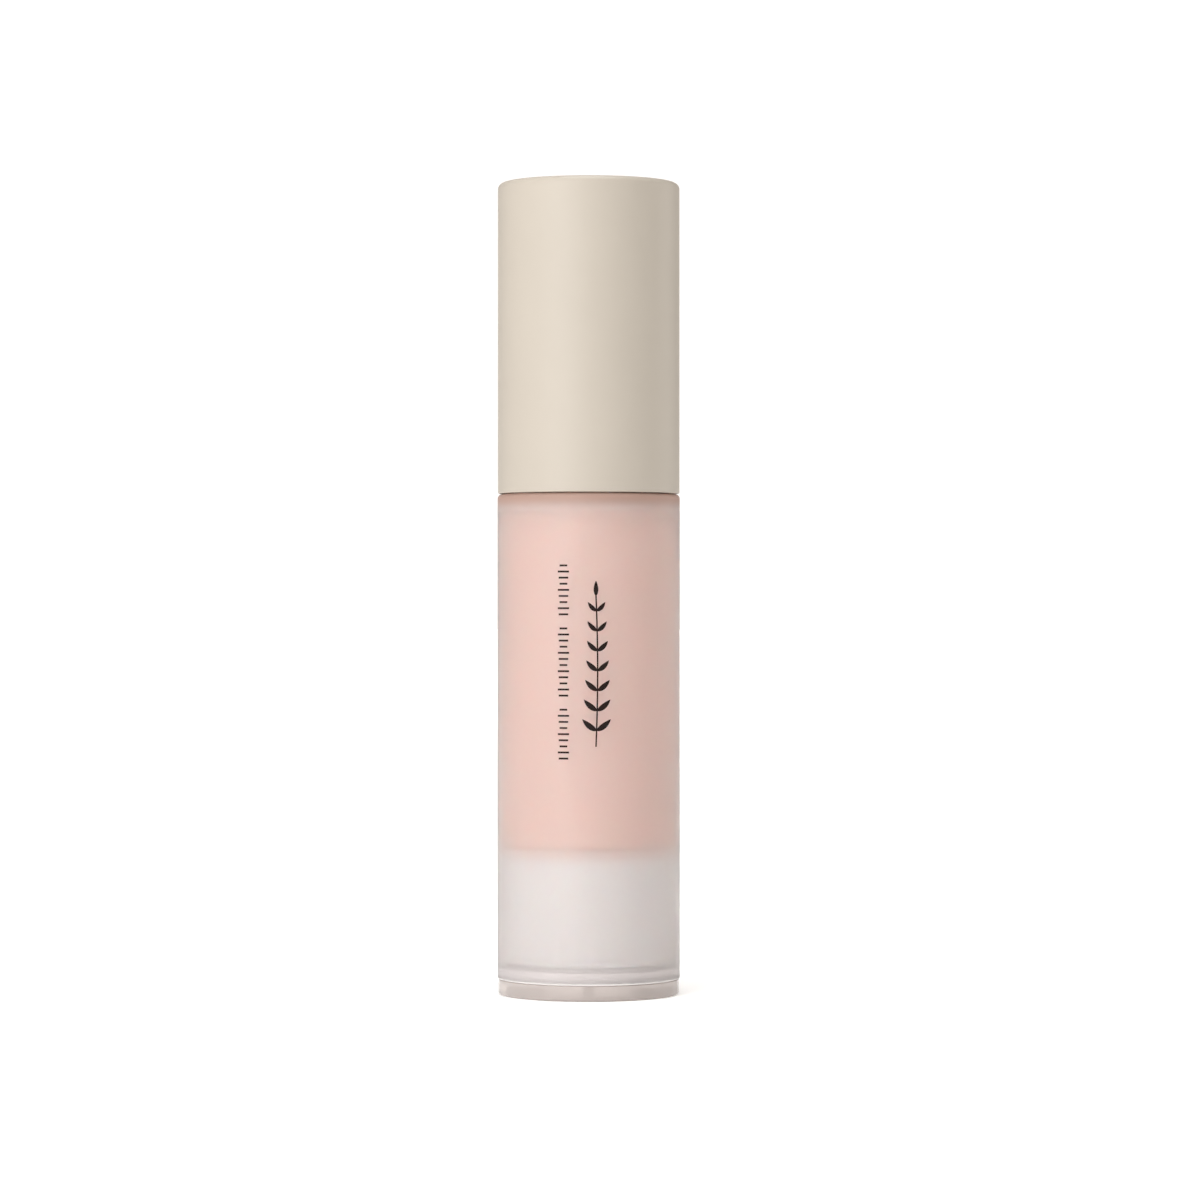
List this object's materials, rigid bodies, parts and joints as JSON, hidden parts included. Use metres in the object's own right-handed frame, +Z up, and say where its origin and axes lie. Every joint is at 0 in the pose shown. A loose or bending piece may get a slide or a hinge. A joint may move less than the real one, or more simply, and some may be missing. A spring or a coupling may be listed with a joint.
{
  "type": "foundation bottle",
  "caption": "Slim round airless foundation bottle with frosted double wall, rising follower, pump with turning head, and pull-off cap.",
  "frame": {"origin": "centre of the foot's lower face, where the bottle stands", "axes": "+Z up along the bottle's axis, -Y where the pump's spout points"},
  "size_m": [0.028, 0.028, 0.1245],
  "materials": {
    "cap_beige": "satin",
    "liner_white": "satin",
    "frosted_clear": "frosted translucent",
    "milky_pp": "satin translucent",
    "clear_plastic": "polished clear",
    "follower_white": "satin",
    "pump_white": "semi-gloss",
    "collar_beige": "semi-gloss",
    "pump_natural": "satin",
    "gasket_rubber": "matte",
    "spring_steel": "drawn wire",
    "ball_steel": "polished",
    "foundation": "cream"
  },
  "bodies": {
    "bottle": {"outer_bottle": "frosted_clear", "inner_bottle": "milky_pp", "base_plug": "clear_plastic", "foundation_fill": "foundation", "shoulder_collar": "collar_beige", "pump_closure": "pump_white", "neck_gasket": "gasket_rubber", "pump_housing": "pump_natural", "housing_retainer": "pump_natural", "ball_retainer": "pump_natural", "return_spring": "spring_steel"},
    "cap": {"cap_shell": "cap_beige", "cap_liner": "liner_white"},
    "stem": {"pump_stem": "pump_natural", "piston_rod": "pump_natural"},
    "head": {"pump_head": "pump_white", "actuator_core": "pump_white", "nozzle_insert": "pump_white"},
    "piston": {"pump_piston": "follower_white"},
    "ball": {"inlet_ball": "ball_steel"},
    "follower": {"follower_piston": "follower_white"}
  },
  "joints": [
    {"name": "cap_lift", "type": "slide", "parent": "bottle", "child": "cap", "axis": [0, 0, 1], "range_m": [0, 0.05]},
    {"name": "pump_press", "type": "slide", "parent": "bottle", "child": "stem", "axis": [0, 0, -1], "range_m": [0, 0.004], "stiffness_N_per_m": 1100, "springref_m": -0.0045, "deforming": ["return_spring"]},
    {"name": "head_turn", "type": "hinge", "parent": "stem", "child": "head", "pos_m": [0, 0, 0.1], "axis": [0, 0, 1], "continuous": true},
    {"name": "piston_slip", "type": "slide", "parent": "stem", "child": "piston", "axis": [0, 0, 1], "range_m": [0, 0.0007]},
    {"name": "inlet_lift", "type": "slide", "parent": "bottle", "child": "ball", "axis": [0, 0, 1], "range_m": [0, 0.0006]},
    {"name": "follower_rise", "type": "slide", "parent": "bottle", "child": "follower", "axis": [0, 0, 1], "range_m": [0, 0.051], "deforming": ["foundation_fill"]}
  ]
}
